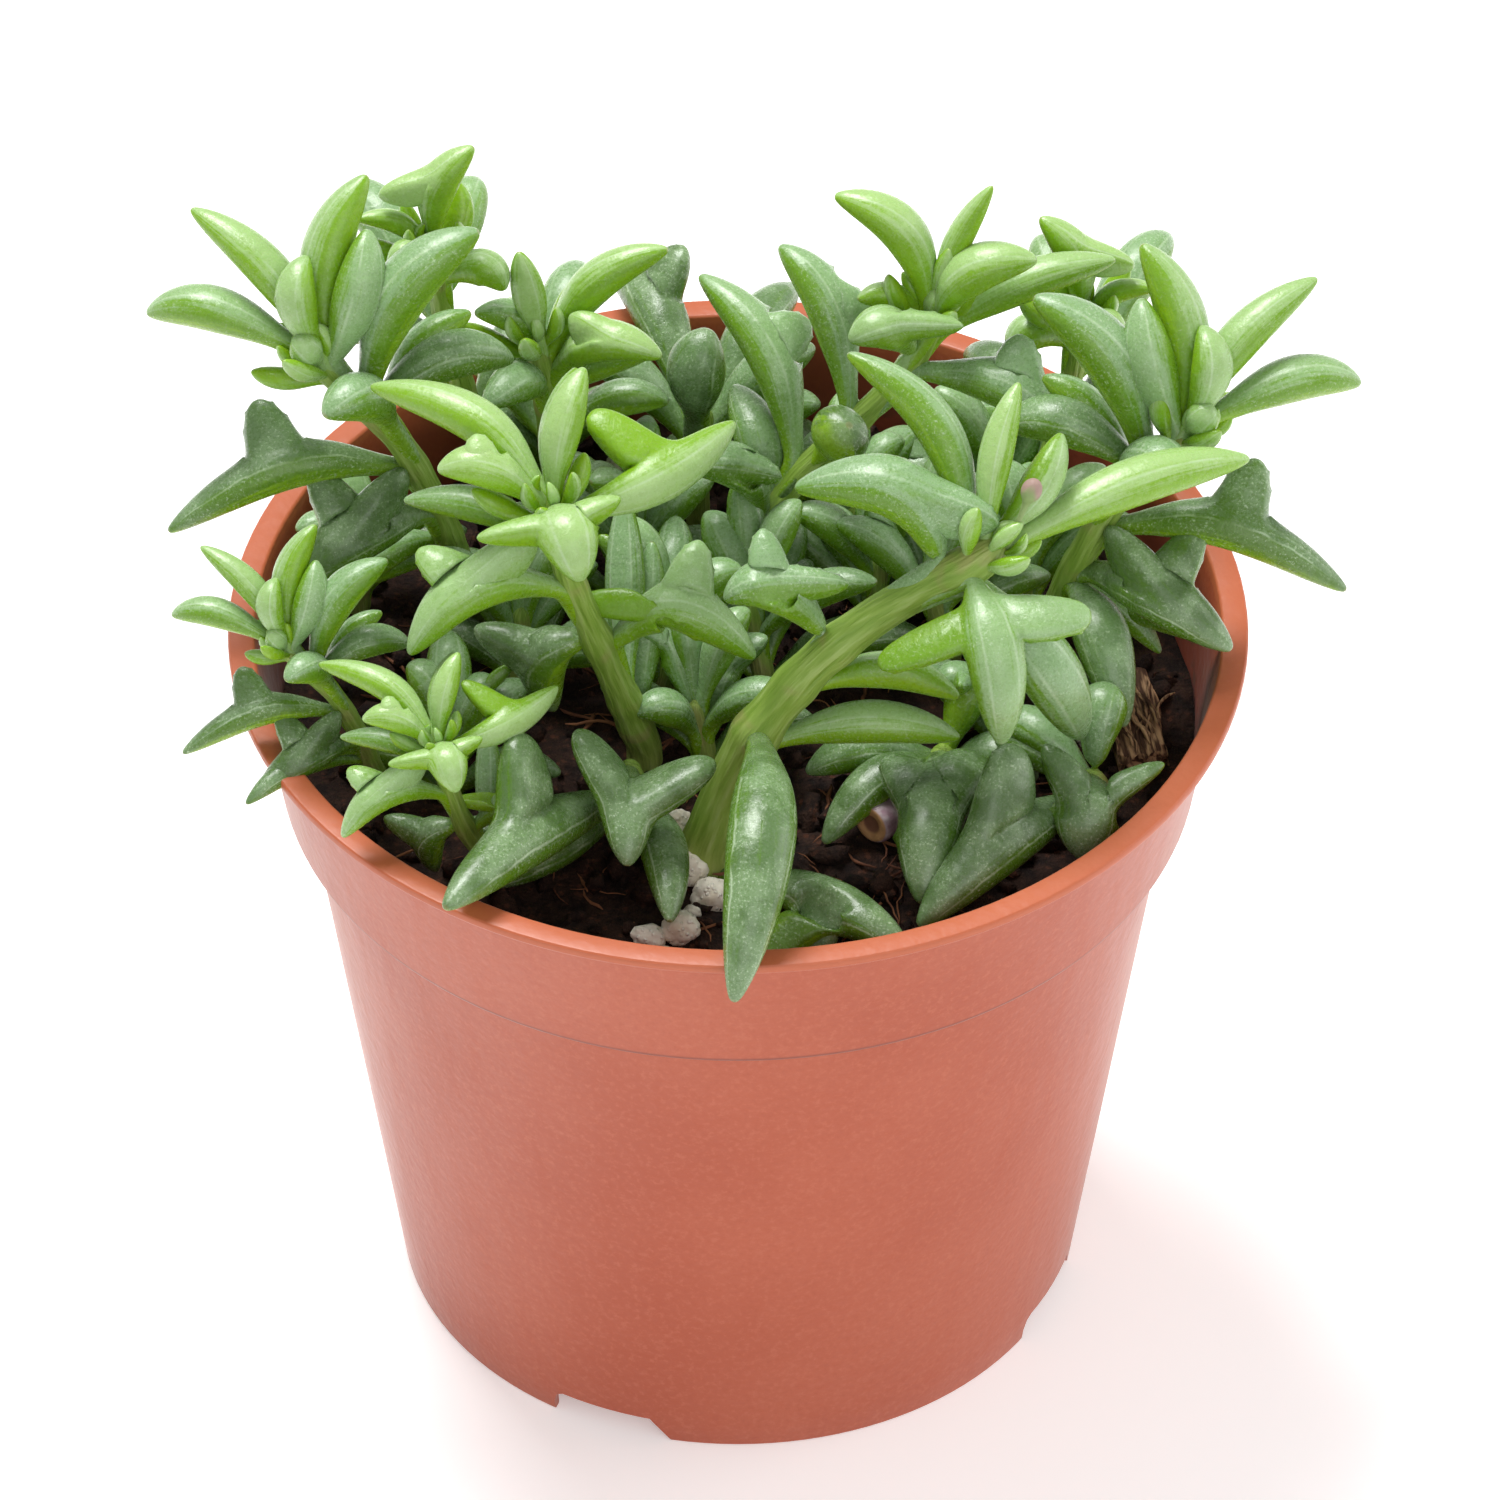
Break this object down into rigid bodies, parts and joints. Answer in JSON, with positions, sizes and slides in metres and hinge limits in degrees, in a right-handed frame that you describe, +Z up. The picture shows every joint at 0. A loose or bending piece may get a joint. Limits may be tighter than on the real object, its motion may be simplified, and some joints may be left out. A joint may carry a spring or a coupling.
{
  "type": "potted string of dolphins",
  "caption": "Trailing succulent with plump, arched, dolphin-shaped leaves on upright shoots, planted in soil in a tapered round nursery pot with a deep collar",
  "frame": {"origin": "centre of the pot's foot on the surface it stands on, under the middle of the bounding box to within about 1 mm", "axes": "+Z up along the pot's axis, -Y towards the front of the plant, +X to the right seen from the front"},
  "size_m": [0.1405, 0.1264, 0.1469],
  "materials": {
    "pot": "moulded terracotta-coloured polypropylene, satin",
    "soil": "loose peat and fibre potting mix, dull",
    "perlite": "puffed, matt off-white",
    "bark": "torn bark, dull",
    "cut_wood": "dried stem, dull",
    "stem": "fleshy yellow-green stem, soft sheen",
    "leaf": "fleshy leaf with a waxy bloom, soft sheen"
  },
  "bodies": {
    "root": {"back_left_leaf_1": "leaf", "back_left_leaf_6": "leaf", "back_left_stem": "stem", "back_low_leaf_2": "leaf", "back_low_leaf_3": "leaf", "back_low_stem": "stem", "back_middle_leaf_4": "leaf", "back_middle_leaf_5": "leaf", "back_middle_stem": "stem", "back_right_leaf_1": "leaf", "back_right_leaf_6": "leaf", "back_right_stem": "stem", "bark_chip": "bark", "centre_left_leaf_1": "leaf", "centre_left_leaf_3": "leaf", "centre_left_leaf_6": "leaf", "centre_left_leaf_8": "leaf", "centre_left_stem": "stem", "centre_right_leaf_1": "leaf", "centre_right_leaf_2": "leaf", "centre_right_leaf_3": "leaf", "centre_right_leaf_4": "leaf", "centre_right_leaf_7": "leaf", "centre_right_stem": "stem", "cut_stem": "cut_wood", "front_left_leaf_1": "leaf", "front_left_leaf_3": "leaf", "front_left_stem": "stem", "front_right_leaf_1": "leaf", "front_right_stem": "stem", "low_inner_leaf_6": "leaf", "low_inner_stem": "stem", "low_outer_leaf_10": "leaf", "low_outer_stem": "stem", "middle_leaf_1": "leaf", "middle_leaf_2": "leaf", "middle_leaf_5": "leaf", "middle_leaf_7": "leaf", "middle_leaf_8": "leaf", "middle_leaf_9": "leaf", "middle_stem": "stem", "perlite_1": "perlite", "perlite_2": "perlite", "pot": "pot", "soil": "soil", "upper_left_leaf_1": "leaf", "upper_left_leaf_10": "leaf", "upper_left_leaf_11": "leaf", "upper_left_leaf_2": "leaf", "upper_left_leaf_4": "leaf", "upper_left_leaf_6": "leaf", "upper_left_leaf_8": "leaf", "upper_left_stem": "stem", "upper_right_leaf_1": "leaf", "upper_right_leaf_10": "leaf", "upper_right_leaf_11": "leaf", "upper_right_leaf_2": "leaf", "upper_right_leaf_4": "leaf", "upper_right_leaf_6": "leaf", "upper_right_stem": "stem"}
  },
  "joints": []
}
